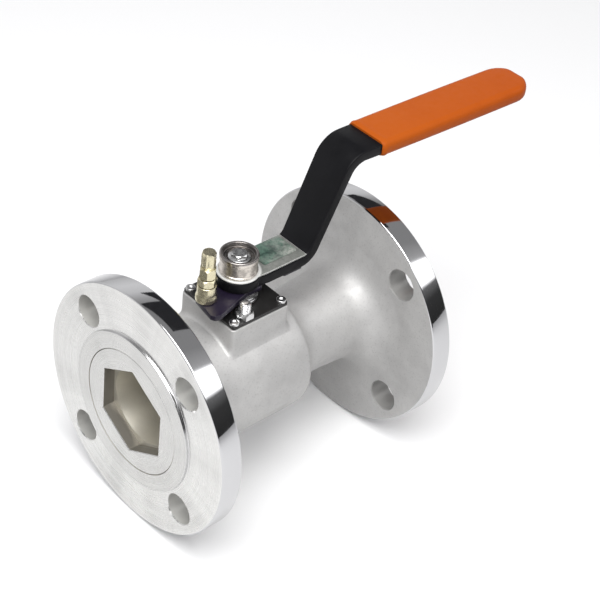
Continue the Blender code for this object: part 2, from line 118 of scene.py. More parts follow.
class Shade:
    """Short names for building one procedural material."""

    def __init__(self, name, colour, metallic, roughness):
        self.mat = bpy.data.materials.new(name)
        self.mat.use_nodes = True
        self.nodes = self.mat.node_tree.nodes
        self.links = self.mat.node_tree.links
        self.shader = self.nodes["Principled BSDF"]
        self.shader.inputs["Base Color"].default_value = (*colour, 1)
        self.shader.inputs["Metallic"].default_value = metallic
        self.shader.inputs["Roughness"].default_value = roughness
        self.place = self.nodes.new("ShaderNodeTexCoord").outputs["Object"]
        self.height = None

    def math(self, operation, a, b, clamp=False):
        node = self.nodes.new("ShaderNodeMath")
        node.operation = operation
        node.use_clamp = clamp
        for socket, value in zip(node.inputs, (a, b)):
            if isinstance(value, (int, float)):
                socket.default_value = value
            else:
                self.links.new(value, socket)
        return node.outputs[0]

    def vector(self, operation, a, b=None):
        node = self.nodes.new("ShaderNodeVectorMath")
        node.operation = operation
        self.links.new(a, node.inputs[0])
        if b is not None:
            node.inputs[1].default_value = b
        return node

    def across(self, centre, keep):
        """Offset from a line through `centre` along the axis that `keep` leaves out."""
        offset = self.vector('SUBTRACT', self.place, centre)
        return self.vector('MULTIPLY', offset.outputs[0], keep).outputs[0]

    def away_from(self, centre, keep):
        """Distance from that line."""
        return self.vector('LENGTH', self.across(centre, keep)).outputs["Value"]

    def along(self, axis):
        split = self.nodes.new("ShaderNodeSeparateXYZ")
        self.links.new(self.place, split.inputs[0])
        return split.outputs[axis]

    def noise(self, scale, detail, roughness=0.5, place=None):
        node = self.nodes.new("ShaderNodeTexNoise")
        node.inputs["Scale"].default_value = scale
        node.inputs["Detail"].default_value = detail
        node.inputs["Roughness"].default_value = roughness
        self.links.new(self.place if place is None else place, node.inputs["Vector"])
        return node.outputs["Fac"]

    def rings(self, distance, scale, detail=3.0):
        """Irregular tool marks that depend on one distance only."""
        node = self.nodes.new("ShaderNodeTexNoise")
        node.noise_dimensions = '1D'
        node.inputs["Scale"].default_value = scale
        node.inputs["Detail"].default_value = detail
        node.inputs["Roughness"].default_value = 0.7
        self.links.new(distance, node.inputs["W"])
        return node.outputs["Fac"]

    def pits(self, scale):
        node = self.nodes.new("ShaderNodeTexVoronoi")
        node.inputs["Scale"].default_value = scale
        self.links.new(self.place, node.inputs["Vector"])
        return node.outputs["Distance"]

    def ramp(self, value, low, high, out_low=0.0, out_high=1.0):
        node = self.nodes.new("ShaderNodeMapRange")
        node.inputs["From Min"].default_value = low
        node.inputs["From Max"].default_value = high
        node.inputs["To Min"].default_value = out_low
        node.inputs["To Max"].default_value = out_high
        self.links.new(value, node.inputs["Value"])
        return node.outputs[0]

    def colour(self, mask, tint):
        """Blend the base colour towards a tint where the mask is 1."""
        mix = self.nodes.new("ShaderNodeMix")
        mix.data_type = 'RGBA'
        base = self.shader.inputs["Base Color"]
        if base.is_linked:
            self.links.new(base.links[0].from_socket, mix.inputs[6])
        else:
            mix.inputs[6].default_value = base.default_value
        mix.inputs[7].default_value = (*tint, 1)
        self.links.new(mask, mix.inputs[0])
        self.links.new(mix.outputs[2], base)

    def rough(self, value):
        self.links.new(value, self.shader.inputs["Roughness"])

    def bump(self, height, depth_mm, strength=1.0):
        node = self.nodes.new("ShaderNodeBump")
        node.inputs["Distance"].default_value = depth_mm * MM
        node.inputs["Strength"].default_value = strength
        self.links.new(height, node.inputs["Height"])
        if self.height is not None:
            self.links.new(self.height, node.inputs["Normal"])
        self.height = node.outputs[0]
        self.links.new(self.height, self.shader.inputs["Normal"])

    def streaks(self, centre, keep, scale):
        """Noise that changes only with the angle about a line: streaks that fan out from it, used for
        painted reflections.
        """
        unit = self.vector('NORMALIZE', self.across(centre, keep))
        return self.noise(scale, 4.0, place=unit.outputs[0])

    def fan(self, strength):
        """Stretch reflections across the rings that a lathe leaves about the pipe axis."""
        tangent = self.nodes.new("ShaderNodeTangent")
        tangent.direction_type = 'RADIAL'
        tangent.axis = 'X'
        self.links.new(tangent.outputs[0], self.shader.inputs["Tangent"])
        self.shader.inputs["Anisotropic"].default_value = strength

    def edges(self, radius_mm, low=0.02, high=0.25):
        """1 along edges, 0 on open faces: the mask for worn edges, and for the painted highlight along
        the trim's edges.
        """
        soft = self.nodes.new("ShaderNodeBevel")
        soft.inputs["Radius"].default_value = radius_mm * MM
        soft.samples = 4
        true = self.nodes.new("ShaderNodeNewGeometry")
        dot = self.vector('DOT_PRODUCT', soft.outputs[0])
        self.links.new(true.outputs["Normal"], dot.inputs[1])
        away = self.math('SUBTRACT', 1.0, dot.outputs["Value"])
        grain = self.noise(700, 3)
        worn = self.math('MULTIPLY', away, self.ramp(grain, 0.3, 0.7, 0.4, 1.6))
        return self.ramp(worn, low, high)


def darker(colour, share):
    return tuple(c * share for c in colour)


def cast_material():
    """Blasted casting skin: fine grain, shallow pits and a slow unevenness."""
    s = Shade("cast_steel", (0.60, 0.595, 0.585), 0.6, 0.5)
    s.colour(s.ramp(s.noise(30, 4, 0.6), 0.35, 0.7), (0.49, 0.485, 0.48))
    s.colour(s.ramp(s.noise(900, 3, 0.6), 0.55, 0.75, 0, 0.5), (0.33, 0.32, 0.32))
    s.rough(s.ramp(s.noise(160, 4), 0.3, 0.7, 0.52, 0.68))
    s.bump(s.noise(1400, 4, 0.65), 0.10, 0.55)
    s.bump(s.pits(500), 0.06, 0.35)
    s.bump(s.noise(45, 3), 0.35, 0.25)
    return s.mat


def turned_material(name, colour, centre, keep, roughness=(0.2, 0.34), depth=0.02, fan=0):
    """Lathe rings about a line; with a fan, also stretched glints, and painted darker reflection fans
    that spread out across a wide face.
    """
    s = Shade(name, colour, 1.0, 0.28)
    distance = s.away_from(centre, keep)
    if fan:
        s.fan(fan)
        raised = s.ramp(distance, (RAISED_FACE_R + 0.2) * MM, (RAISED_FACE_R - 0.2) * MM)
        s.colour(raised, darker(colour, 0.83))
        # painted reflection: darker fans and finer streaks about the axis stand in for the glints of a
        # turned face
        painted_reflection_fans = s.math('MULTIPLY', s.ramp(s.streaks(centre, keep, 2.2), 0.45, 0.62),
                       s.ramp(s.rings(distance, 110, 1.0), 0.35, 0.6, 0.35, 1.0))
        s.colour(s.math('MULTIPLY', painted_reflection_fans, 0.75), darker(colour, 0.7))
        s.colour(s.ramp(s.streaks(centre, keep, 14), 0.5, 0.7, 0, 0.3), darker(colour, 0.8))
    lines = s.rings(distance, 900)
    s.colour(s.ramp(s.rings(distance, 150), 0.35, 0.75, 0, 0.6), darker(colour, 0.88))
    s.colour(s.ramp(s.noise(80, 5, 0.7), 0.6, 0.8, 0, 0.25), darker(colour, 0.75))
    s.rough(s.ramp(lines, 0.3, 0.7, *roughness))
    s.bump(lines, depth, 0.5)
    return s.mat


def rim_material():
    """Mirror-turned rim with fine tool lines round it."""
    s = Shade("polished_rim", (0.63, 0.63, 0.64), 1.0, 0.05)
    lines = s.rings(s.along("X"), 1600)
    s.rough(s.ramp(lines, 0.3, 0.7, 0.03, 0.09))
    s.colour(s.ramp(s.noise(300, 5, 0.7), 0.62, 0.8, 0, 0.35), (0.44, 0.44, 0.45))
    s.bump(lines, 0.004, 0.4)
    s.bump(s.noise(120, 2), 0.02, 0.1)
    return s.mat


def bore_material(name, colour, metallic=0.25):
    """Bored or drilled wall with tool lines round the hole."""
    s = Shade(name, colour, metallic, 0.5)
    lines = s.rings(s.along("X"), 1200)
    s.colour(s.ramp(s.noise(120, 5, 0.7), 0.4, 0.8, 0, 0.6), darker(colour, 0.85))
    s.rough(s.ramp(lines, 0.3, 0.7, 0.32, 0.55))
    s.bump(lines, 0.03, 0.5)
    return s.mat


def black_material(name, colour, roughness, shine):
    """Black paint or oxide, worn grey along its edges."""
    s = Shade(name, colour, 0.0, sum(roughness) / 2)
    s.shader.inputs["Specular IOR Level"].default_value = shine
    s.colour(s.ramp(s.noise(60, 4, 0.6), 0.4, 0.75, 0, 0.5), tuple(c * 1.7 for c in colour))
    s.colour(s.edges(0.5), (0.13, 0.13, 0.135))
    s.rough(s.ramp(s.noise(220, 4), 0.3, 0.7, *roughness))
    s.bump(s.noise(900, 3), 0.05, 0.35)
    s.bump(s.noise(90, 3), 0.15, 0.2)
    return s.mat


def zinc_material(name, colour):
    s = Shade(name, colour, 1.0, 0.27)
    s.colour(s.ramp(s.noise(260, 4, 0.7), 0.45, 0.75, 0, 0.5), darker(colour, 0.7))
    s.rough(s.ramp(s.noise(500, 3), 0.3, 0.7, 0.2, 0.34))
    s.bump(s.noise(1200, 3), 0.02, 0.4)
    return s.mat


def hub_material():
    """Turned steel, with painted shade on its top and darker painted shade in its recess."""
    s = Shade("hub_steel", (0.72, 0.67, 0.61), 1.0, 0.3)
    top = PIPE_AXIS.z + HUB_Z[1] * MM
    # painted shade: the top face is darker
    s.colour(s.ramp(s.along("Z"), top - 1.6 * MM, top - 0.8 * MM), (0.34, 0.32, 0.31))
    distance = s.away_from(STEM_AXIS, (1, 1, 0))
    # painted shade: darkest in the recess round the screw
    s.colour(s.ramp(distance, 9.7 * MM, 9.3 * MM), (0.17, 0.16, 0.155))
    lines = s.rings(distance, 1500)
    s.colour(s.ramp(s.noise(220, 4, 0.7), 0.42, 0.6, 0, 0.7), (0.26, 0.235, 0.215))
    s.colour(s.edges(0.7), (0.62, 0.60, 0.58))
    s.rough(s.ramp(lines, 0.3, 0.7, 0.24, 0.42))
    s.bump(lines, 0.02, 0.4)
    return s.mat


def trim_material():
    """Satin plate, with a painted highlight round the hub and along its edges."""
    s = Shade("trim_satin", (0.27, 0.275, 0.255), 0.35, 0.45)
    s.colour(s.ramp(s.noise(300, 5, 0.7), 0.4, 0.7), (0.17, 0.18, 0.165))
    # painted highlight: a bright ring on the plate round the hub
    s.colour(s.ramp(s.away_from(STEM_AXIS, (1, 1, 0)), 13.5 * MM, 12.5 * MM), (0.80, 0.80, 0.78))
    # painted highlight along the plate's edges
    s.colour(s.edges(0.8, 0.005, 0.1), (0.85, 0.85, 0.83))
    s.rough(s.ramp(s.noise(500, 3), 0.3, 0.7, 0.35, 0.55))
    s.bump(s.noise(900, 3), 0.02, 0.4)
    return s.mat


def label_material():
    """Blank green label, stained and rubbed pale towards its far end and its near side."""
    s = Shade("green_label", (0.072, 0.132, 0.10), 0.0, 0.4)
    s.shader.inputs["Specular IOR Level"].default_value = 0.3
    s.colour(s.ramp(s.noise(170, 6, 0.7), 0.42, 0.6), (0.02, 0.043, 0.034))
    worn = s.math('ADD', s.ramp(s.away_from(STEM_AXIS, (1, 0, 0)), 24 * MM, 40 * MM),
                  s.ramp(s.along("Y"), 2 * MM, -6 * MM, 0, 0.6))
    rubbed = s.math('MULTIPLY', worn, s.ramp(s.noise(260, 6, 0.7), 0.35, 0.6))
    s.colour(s.math('MULTIPLY', rubbed, 0.8, clamp=True), (0.34, 0.35, 0.32))
    s.rough(s.ramp(s.noise(300, 4), 0.3, 0.7, 0.28, 0.5))
    s.bump(s.noise(800, 3), 0.03, 0.4)
    return s.mat


def vinyl_material():
    """Dipped orange vinyl, a little yellower near the crank."""
    s = Shade("orange_vinyl", (0.425, 0.076, 0.005), 0.0, 0.42)
    s.shader.inputs["Specular IOR Level"].default_value = 0.1
    s.colour(s.ramp(s.along("X"), -20 * MM, 140 * MM, 0.45, 0.0), (0.44, 0.105, 0.009))
    s.colour(s.ramp(s.noise(45, 4, 0.6), 0.45, 0.75, 0, 0.35), (0.37, 0.062, 0.004))
    s.rough(s.ramp(s.noise(240, 4), 0.3, 0.7, 0.36, 0.52))
    s.bump(s.noise(1500, 3), 0.03, 0.4)
    s.bump(s.noise(70, 3), 0.25, 0.25)
    return s.mat


def plain_material(name, colour, metallic, roughness, grain):
    s = Shade(name, colour, metallic, sum(roughness) / 2)
    s.colour(s.ramp(s.noise(grain / 4, 4), 0.4, 0.75, 0, 0.4), darker(colour, 0.8))
    s.rough(s.ramp(s.noise(grain, 3), 0.3, 0.7, *roughness))
    s.bump(s.noise(grain * 2, 3), 0.02, 0.3)
    return s.mat


CAST = cast_material()
FACE = turned_material("turned_face", (0.765, 0.76, 0.745), PIPE_AXIS, (0, 1, 1), fan=0.8)
TRIM = trim_material()
RIM = rim_material()
HOLES = bore_material("drilled_holes", (0.53, 0.525, 0.50))
# darker copy of the drilled finish for the far flange's holes: painted shade
SHADED_FAR_HOLES = bore_material("drilled_holes_far_painted_shade", (0.32, 0.315, 0.305))
BORE = bore_material("bored_steel", (0.68, 0.65, 0.57), 0.75)
# the hex socket's walls take a dark copy of the bored finish: painted shade in the recess
SHADED_SOCKET = bore_material("socket_walls_painted_shade", (0.24, 0.225, 0.195), 0.5)
BLACK = black_material("black_lever", (0.0055, 0.0055, 0.0065), (0.32, 0.48), 0.13)
PLATE = black_material("black_plate", (0.011, 0.0075, 0.019), (0.28, 0.42), 0.35)
GLAND = black_material("gland_black", (0.013, 0.0125, 0.012), (0.3, 0.45), 0.4)
ZINC = zinc_material("bright_zinc", (0.70, 0.70, 0.70))
YELLOW = zinc_material("yellow_zinc", (0.75, 0.69, 0.49))
HUB = hub_material()
LABEL = label_material()
VINYL = vinyl_material()
BALL = turned_material("ball_steel", (0.74, 0.74, 0.75), STEM_AXIS, (0, 1, 1), (0.07, 0.12), 0.003)
STEM = turned_material("stem_steel", (0.70, 0.69, 0.67), STEM_AXIS, (1, 1, 0))
PTFE = plain_material("ptfe", (0.80, 0.79, 0.76), 0.0, (0.40, 0.55), 500)
RUBBER = plain_material("o_ring_rubber", (0.012, 0.012, 0.013), 0.0, (0.45, 0.6), 700)


# ---------------------------------------------------------------- shapes

def at(axis, along, p, q):
    """A point from its place along an axis and across it."""
    return Vector((along, p, q)) if axis == 'X' else Vector((p, q, along))


def rounded_path(points, steps=4):
    """A profile of (along, radius, corner radius): each corner becomes an arc of that radius."""
    result = []
    count = len(points)
    for i, (a, r, corner) in enumerate(points):
        here = Vector((a, r))
        if corner <= 0 or i in (0, count - 1):
            result.append((a, r))
            continue
        back = (Vector(points[i - 1][:2]) - here)
        ahead = (Vector(points[i + 1][:2]) - here)
        back_unit, ahead_unit = back.normalized(), ahead.normalized()
        half_angle = back_unit.angle(ahead_unit) / 2
        cut = min(corner / math.tan(half_angle), back.length * 0.48, ahead.length * 0.48)
        radius = cut * math.tan(half_angle)
        centre = here + (back_unit + ahead_unit).normalized() * (radius / math.sin(half_angle))
        start, stop = here + back_unit * cut - centre, here + ahead_unit * cut - centre
        turn = start.angle_signed(stop)
        for k in range(steps + 1):
            spoke = start.copy()
            spoke.rotate(Matrix.Rotation(-turn * k / steps, 2))
            result.append(tuple(centre + spoke))
    return result


def smooth_path(points, per_span=5):
    """Catmull-Rom curve through (along, radius) points."""
    pts = [Vector(p) for p in points]
    pts = [2 * pts[0] - pts[1]] + pts + [2 * pts[-1] - pts[-2]]
    result = []
    for p0, p1, p2, p3 in zip(pts, pts[1:], pts[2:], pts[3:]):
        t1 = (p1 - p0).length ** 0.5
        t2 = t1 + (p2 - p1).length ** 0.5
        t3 = t2 + (p3 - p2).length ** 0.5
        for k in range(per_span):
            t = t1 + (t2 - t1) * k / per_span
            a1 = p0 * ((t1 - t) / t1) + p1 * (t / t1)
            a2 = p1 * ((t2 - t) / (t2 - t1)) + p2 * ((t - t1) / (t2 - t1))
            a3 = p2 * ((t3 - t) / (t3 - t2)) + p3 * ((t - t2) / (t3 - t2))
            b1 = a1 * ((t2 - t) / t2) + a2 * (t / t2)
            b2 = a2 * ((t3 - t) / (t3 - t1)) + a3 * ((t - t1) / (t3 - t1))
            result.append(tuple(b1 * ((t2 - t) / (t2 - t1)) + b2 * ((t - t1) / (t2 - t1))))
    result.append(tuple(points[-1]))
    return result


def skin(rings, closed=False, caps=True):
    """Join equal rings of points into one surface."""
    bm = bmesh.new()
    rows = [[bm.verts.new(p) for p in ring] for ring in rings]
    pairs = list(zip(rows, rows[1:]))
    if closed:
        pairs.append((rows[-1], rows[0]))
    for low, high in pairs:
        for i in range(len(low)):
            j = (i + 1) % len(low)
            bm.faces.new((low[i], low[j], high[j], high[i]))
    if caps and not closed:
        bm.faces.new(rows[0])
        bm.faces.new(rows[-1])
    return bm


def lathe(profile, axis, segments, centre=(0.0, 0.0)):
    """Turned solid; the profile is a closed loop, or starts and ends on the axis."""
    on_axis = profile[0][1] <= 0
    inner = [p for p in profile if p[1] > 0]
    rings = []
    for along, radius in inner:
        ring = []
        for i in range(segments):
            a = 2 * math.pi * i / segments
            p, q = centre[0] + radius * math.cos(a), centre[1] + radius * math.sin(a)
            ring.append(at(axis, along, p, q))
        rings.append(ring)
    bm = skin(rings, closed=not on_axis, caps=False)
    if on_axis:
        verts = list(bm.verts)
        for first, along in ((0, profile[0][0]), (len(rings) - 1, profile[-1][0])):
            tip = bm.verts.new(at(axis, along, *centre))
            ring = verts[first * segments:(first + 1) * segments]
            for i in range(segments):
                bm.faces.new((tip, ring[i], ring[(i + 1) % segments]))
    return bm


def prism(outline, low, high):
    return skin([[Vector((p, q, level)) for p, q in outline] for level in (low, high)])


def arc(centre, radius, start, stop, steps):
    points = []
    for i in range(steps + 1):
        a = math.radians(start + (stop - start) * i / steps)
        points.append((centre[0] + radius * math.cos(a), centre[1] + radius * math.sin(a)))
    return points


def rounded_box(half_p, half_q, corner, steps=6):
    points = []
    for sp, sq, start in ((1, 1, 0), (-1, 1, 90), (-1, -1, 180), (1, -1, 270)):
        centre = (sp * (half_p - corner), sq * (half_q - corner))
        points += arc(centre, corner, start, start + 90, steps)
    return points


def rounded_outline(points):
    """Closed outline of (p, q, corner radius)."""
    loop = [points[-1]] + list(points) + [points[0]]
    result = []
    for before, here, after in zip(loop, loop[1:], loop[2:]):
        result += rounded_path([before, here, after], 5)[1:-1]
    return result


def soften(bm, width, segments):
    """Round every edge sharper than 40 degrees."""
    bmesh.ops.recalc_face_normals(bm, faces=bm.faces)
    sharp = [e for e in bm.edges if len(e.link_faces) == 2
             and e.calc_face_angle(0) > math.radians(40)]
    bmesh.ops.bevel(bm, geom=sharp, offset=width, offset_type='OFFSET', segments=segments,
                    profile=0.5, affect='EDGES', clamp_overlap=True)
    return bm


def hex_solid(across_flats, low, high, chamfer, hole=0.0, both=False, turn=0.0):
    """Hexagon nut or head whose corners are cut by a turned chamfer, on top or on both ends."""
    flat = across_flats / 2
    round_r = flat * 0.985
    count = 72

    def reach(i):
        a = math.radians(i * 360 / count)
        return flat / math.cos((a + math.pi / 6) % (math.pi / 3) - math.pi / 6)

    def ring(radius, level):
        points = []
        for i in range(count):
            a = math.radians(i * 360 / count + turn)
            r = radius if radius is not None else reach(i)
            z = level(reach(i)) if callable(level) else level
            points.append(Vector((r * math.cos(a), r * math.sin(a), z)))
        return points

    slope = chamfer / (flat / math.cos(math.pi / 6) - round_r)
    rows = [ring(None, lambda r: high - (r - round_r) * slope), ring(round_r, high)]
    foot = [ring(round_r, low), ring(None, lambda r: low + (r - round_r) * slope)]
    if not both:
        foot = [ring(None, low)]
    rows = foot + rows
    if hole > 0:
        rows += [ring(hole + 0.35, high), ring(hole, high - 0.35), ring(hole, low + 0.35),
                 ring(hole + 0.35, low)]
        return skin(rows, closed=True)
    return skin(rows)


def threaded(radius, pitch, low, high, depth=0.55, segments=48):
    """Rod with a helical thread, its top end chamfered and closed."""
    step = pitch / 8
    count = int((high - low) / step)
    rings = []
    for k in range(count + 1):
        z = low + (high - low) * k / count
        fade = min(1.0, (high - z) / (pitch * 0.8))
        ring = []
        for i in range(segments):
            phase = (z / pitch - i / segments) % 1.0
            tooth = abs(phase * 2 - 1)
            r = radius - depth * (1 - tooth) - (1 - fade) * depth * 1.4
            a = 2 * math.pi * i / segments
            ring.append(Vector((r * math.cos(a), r * math.sin(a), z)))
        rings.append(ring)
    return skin(rings)


def place_mesh(name, bm, origin):
    """Turn a mesh in mm about `origin` into an object in the frame's metres."""
    bmesh.ops.recalc_face_normals(bm, faces=bm.faces)
    bmesh.ops.transform(bm, matrix=Matrix.Translation(origin) @ Matrix.Scale(MM, 4), verts=bm.verts)
    return link(name, bm)


def link(name, bm):
    mesh = bpy.data.meshes.new(name)
    bm.to_mesh(mesh)
    bm.free()
    obj = bpy.data.objects.new(name, mesh)
    bpy.context.scene.collection.objects.link(obj)
    return obj


def make(name, bm, materials, body, replaces=(), origin=STEM_AXIS, sharp=32):
    """Finish a mesh in mm about `origin` as a piece of the object."""
    obj = place_mesh(name, bm, origin)
    for material in materials:
        obj.data.materials.append(material)
    finish_mesh(obj, origin, sharp=sharp)
    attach(obj, body)
    if replaces:
        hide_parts(*replaces)
    return obj


def finish_mesh(obj, origin, paint=None, sharp=32):
    """Smooth shading with sharp edges kept; `paint` picks each face's material from its place."""
    mesh = obj.data
    mesh.shade_smooth()
    mesh.set_sharp_from_angle(angle=math.radians(sharp))
    if paint is not None:
        for poly in mesh.polygons:
            poly.material_index = paint((poly.center - origin) / MM, poly.normal)


def cut(obj, cutter, origin):
    """Cut an object by a bmesh in mm about `origin` and keep the result as its mesh."""
    tool = place_mesh("tool", cutter, origin)
    mod = obj.modifiers.new("cut", 'BOOLEAN')
    mod.operation = 'DIFFERENCE'
    mod.solver = 'EXACT'
    mod.object = tool
    bpy.context.view_layer.update()
    depsgraph = bpy.context.evaluated_depsgraph_get()
    mesh = bpy.data.meshes.new_from_object(obj.evaluated_get(depsgraph))
    obj.modifiers.clear()
    obj.data = mesh
    bpy.data.objects.remove(tool)


def join(parts):
    """One bmesh that holds several."""
    result = bmesh.new()
    for part in parts:
        mesh = bpy.data.meshes.new("part")
        part.to_mesh(mesh)
        part.free()
        result.from_mesh(mesh)
        bpy.data.meshes.remove(mesh)
    return result


# ---------------------------------------------------------------- casting and end piece

def paint_body(place, normal):
    """0 cast skin, 1 turned faces, 2 polished rim, 3 near bolt holes, 5 far bolt holes in painted shade,
    4 bore.
    """
    radius = math.hypot(place.y, place.z)
    depth = abs(place.x)
    side_wall = abs(normal.x) < 0.9
    if depth > FLANGE_BACK_X and radius > FLANGE_R - 1.6 and side_wall:
        return 2
    if abs(normal.x) > 0.6 and depth > FLANGE_FACE_X - 0.6:
        return 1
    if depth > FLANGE_BACK_X - 0.2:
        for y, z in BOLT_CENTRES:
            if math.hypot(place.y - y, place.z - z) < BOLT_HOLE_R + 0.8 and side_wall:
                # the far flange's holes get the darker copy: painted shade
                return 3 if place.x < 0 else 5
    if depth > FLANGE_FACE_X - 0.6 and abs(radius - RAISED_FACE_R) < 0.8:
        return 2
    if radius < INSERT_R + 0.6 and depth > FLANGE_BACK_X:
        return 4
    return 0 if radius > NECK_R - 1.1 else 4


def build_casting():
    face, back = FLANGE_FACE_X, FLANGE_BACK_X
    near = rounded_path([
        (-HALF, INSERT_R + GAP, 0), (-HALF, RAISED_FACE_R, 0.4), (-face, RAISED_FACE_R, 0.5),
        (-face, FLANGE_R, 1.0), (-back, FLANGE_R, 1.2), (-back, 50.0, 0)])
    middle = smooth_path([
        (-back, 44.4), (-back + 0.9, 41.6), (-back + 2.6, 39.3), (-back + 5.8, 38.1),
        (-back + 8.0, BARREL_R), (9.0, BARREL_R), (11.6, 37.6), (13.3, 36.4), (14.6, 34.2),
        (16.6, 31.0), (19.6, 28.4), (24.0, NECK_R + 0.2), (30.0, NECK_R), (54.0, 28.0),
        (61.0, 29.2), (66.0, 31.6), (69.6, 35.4), (71.8, 40.6), (back, 48.0)])
    far = rounded_path([
        (back, 50.0, 0), (back, FLANGE_R, 1.2), (face, FLANGE_R, 1.0), (face, RAISED_FACE_R, 0.5),
        (HALF, RAISED_FACE_R, 0.4), (HALF, 24.5, 0.4), (60.0, PORT_R, 0)])
    inside = [(8.3, PORT_R), (8.3, 26.3), (-3.0, 26.3), (-3.0, 31.0), (-33.0, 31.0), (-33.0, 32.3),
              (-80.3, 32.3), (-80.3, INSERT_R + GAP)]
    finishes = [CAST, FACE, RIM, HOLES, BORE, SHADED_FAR_HOLES]
    body = make("body_casting", lathe(near + middle + far + inside, 'X', 180), finishes, HOUSING,
                ["body"], PIPE_AXIS)
    holes = []
    flare = 0.5
    for low, high in ((-face, -back), (back, face)):
        profile = [(low - 1, 0), (low - 1, BOLT_HOLE_R + flare + 1), (low + flare, BOLT_HOLE_R),
                   (high - flare, BOLT_HOLE_R), (high + 1, BOLT_HOLE_R + flare + 1), (high + 1, 0)]
        holes += [lathe(profile, 'X', 48, centre) for centre in BOLT_CENTRES]
    cut(body, join(holes), PIPE_AXIS)
    finish_mesh(body, PIPE_AXIS, paint_body)


def barrel_height(y):
    """Height of the barrel's upper surface at a distance from its middle."""
    return math.sqrt(max(BARREL_R ** 2 - y ** 2, 0.0))


def build_pad():
    """Square stem pad with a filleted foot on the barrel."""
    fillet, edge = 3.6, 0.6
    outline = rounded_box(PAD_X, PAD_Y, 2.6, 8)
    fine = []
    for (p0, q0), (p1, q1) in zip(outline, outline[1:] + outline[:1]):
        pieces = max(1, int(math.hypot(p1 - p0, q1 - q0) / 1.5))
        for k in range(pieces):
            fine.append((p0 + (p1 - p0) * k / pieces, q0 + (q1 - q0) * k / pieces))

    def grown(amount):
        return [(p * (1 + amount / PAD_X), q * (1 + amount / PAD_Y)) for p, q in fine]

    rings = [[Vector((p, q, 14.0)) for p, q in grown(fillet)]]
    wide = grown(fillet)
    for k in range(6):
        t = k / 5
        ring = []
        for (p, q), (wp, wq) in zip(fine, wide):
            foot = Vector((wp, wq, barrel_height(wq) - 0.05))
            corner = Vector((p, q, barrel_height(q)))
            wall = Vector((p, q, min(barrel_height(q) + fillet * 1.2, PAD_TOP - 1.0)))
            ring.append(foot * (1 - t) ** 2 + corner * 2 * t * (1 - t) + wall * t ** 2)
        rings.append(ring)
    for k in range(4):
        a = math.pi / 2 * k / 3
        shrink = grown(-edge * (1 - math.cos(a)))
        rings.append([Vector((p, q, PAD_TOP - edge + edge * math.sin(a))) for p, q in shrink])
    make("stem_pad", skin(rings), [CAST], HOUSING)


def build_cast_ring():
    """Plain raised ring cast on the side of the barrel."""
    ring_r, wire = 8.0, 0.8
    x_mid = -2.0
    turn = math.radians(78)
    rings = []
    for i in range(64):
        a = 2 * math.pi * i / 64
        ring = []
        for k in range(8):
            b = 2 * math.pi * k / 8
            r = ring_r + wire * math.cos(b)
            lift = BARREL_R - 0.45 + wire * math.sin(b) * 0.8
            turn_here = turn + r * math.sin(a) / BARREL_R
            x = x_mid + r * math.cos(a)
            ring.append(Vector((x, -lift * math.sin(turn_here), lift * math.cos(turn_here))))
        rings.append(ring)
    make("cast_ring_mark", skin(rings, closed=True), [CAST], HOUSING, (), PIPE_AXIS)


def paint_insert(place, normal):
    """0 turned face, 1 bore, 2 socket walls in painted shade."""
    if place.x < -HALF + 0.6 and normal.x < -0.5:
        return 0
    in_socket = place.x < -HALF + HEX_DEPTH - 0.3 and math.hypot(place.y, place.z) < 30
    return 2 if in_socket else 1


def build_insert():
    profile = rounded_path([
        (-HALF, 23.6, 0), (-HALF, INSERT_R, 0.5), (-80.6, INSERT_R, 0.3), (-80.6, 32.0, 0),
        (-76.5, 32.0, 0), (-76.5, 29.6, 0), (-73.5, 29.6, 0), (-73.5, 32.0, 0), (-37.0, 32.0, 0),
        (-36.0, 31.0, 0), (-36.0, 29.0, 0), (-33.3, 29.0, 0), (-33.3, 26.3, 0), (-42.3, 26.3, 0),
        (-42.3, PORT_R, 0.4), (-62.0, PORT_R, 0), (-HALF + HEX_DEPTH, 23.6, 0)])
    insert = make("end_piece", lathe(profile, 'X', 120), [FACE, BORE, SHADED_SOCKET], HOUSING,
                  ["body_insert"], PIPE_AXIS)
    radius = HEX_AF / math.sqrt(3)
    hexagon = arc((0, 0), radius, 90, 390, 5)
    mouth = [(p * 1.05, q * 1.05) for p, q in hexagon]
    floor = -HALF + HEX_DEPTH
    socket = skin([[at('X', x, p, q) for p, q in loop] for x, loop in (
        (-HALF - 0.9, mouth), (-HALF + 0.5, hexagon), (floor, hexagon))])
    cut(insert, socket, PIPE_AXIS)
    finish_mesh(insert, PIPE_AXIS, paint_insert)


def build_ball_and_seats():
    edge = math.degrees(math.asin(BALL_BORE_R / BALL_R))
    sphere = [(-p, q) for p, q in arc((0, 0), BALL_R, edge, 180 - edge, 60)]
    ball = make("ball_polished", lathe(sphere, 'X', 120), [BALL, BORE], BALL_BODY, ["ball"])
    slot = skin([[Vector((p, q, z)) for p, q in ((-4.5, -40), (4.5, -40), (4.5, 40), (-4.5, 40))]
                 for z in (23.0, 32.0)])
    cut(ball, slot, STEM_AXIS)
    finish_mesh(ball, STEM_AXIS, lambda place, normal: 0 if place.length > BALL_R - 0.4 else 1)
    inner = BALL_R + 0.25
    for node, side in (("seat_front", -1), ("seat_rear", 1)):
        cup = [(math.sqrt(inner ** 2 - r ** 2), r) for r in (20.0, 20.9, 21.8, 22.7, 23.6, 24.5)]
        profile = [(25.0, 20.0)] + cup + [(cup[-1][0], 26.0), (25.0, 26.0)]
        profile = [(side * along, radius) for along, radius in profile]
        make(node + "_ring", lathe(profile, 'X', 96), [PTFE], HOUSING, [node])


# ---------------------------------------------------------------- top works that stay still

